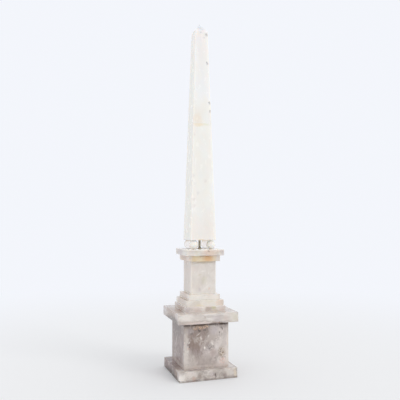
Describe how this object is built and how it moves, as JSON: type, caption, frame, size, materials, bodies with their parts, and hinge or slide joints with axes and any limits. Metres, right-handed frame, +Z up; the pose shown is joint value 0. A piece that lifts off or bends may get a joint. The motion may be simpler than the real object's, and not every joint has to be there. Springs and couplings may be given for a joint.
{
  "type": "table obelisk",
  "caption": "Ornamental obelisk of cloudy rock crystal: stepped pedestal of square blocks, ball feet round a metal rod, and a tapering shaft with a low pyramid point.",
  "frame": {"origin": "middle of the plinth's underside, on the surface that it stands on", "axes": "+Z up along the shaft to the point, X and Y square to the blocks' faces"},
  "size_m": [0.1288, 0.1288, 0.7613],
  "materials": {
    "pale_crystal": "polished cloudy rock crystal, pinkish white",
    "smoky_crystal": "polished rock crystal, heavily clouded, grey brown with rusty inclusions",
    "cream_crystal": "polished cloudy rock crystal, cream",
    "grey_crystal": "polished cloudy rock crystal, warm light grey",
    "amber_crystal": "polished rock crystal stained amber",
    "clear_crystal": "polished near-clear rock crystal",
    "milky_crystal": "polished milky rock crystal, warm white",
    "aged_cement": "yellowed clear cement",
    "dark_metal": "aged, dark olive brown"
  },
  "bodies": {
    "root": {"plinth_slab": "pale_crystal", "lower_die": "smoky_crystal", "lower_cap_slab": "pale_crystal", "base_step_lower": "cream_crystal", "base_step_middle": "cream_crystal", "base_step_upper": "cream_crystal", "upper_die": "grey_crystal", "neck_slab": "amber_crystal", "abacus_slab": "grey_crystal", "ball_foot_front_left": "clear_crystal", "ball_foot_front_right": "clear_crystal", "ball_foot_back_left": "clear_crystal", "ball_foot_back_right": "clear_crystal", "centre_rod": "dark_metal", "shaft_lower": "milky_crystal", "shaft_seam": "aged_cement", "shaft_upper": "milky_crystal"}
  },
  "joints": []
}
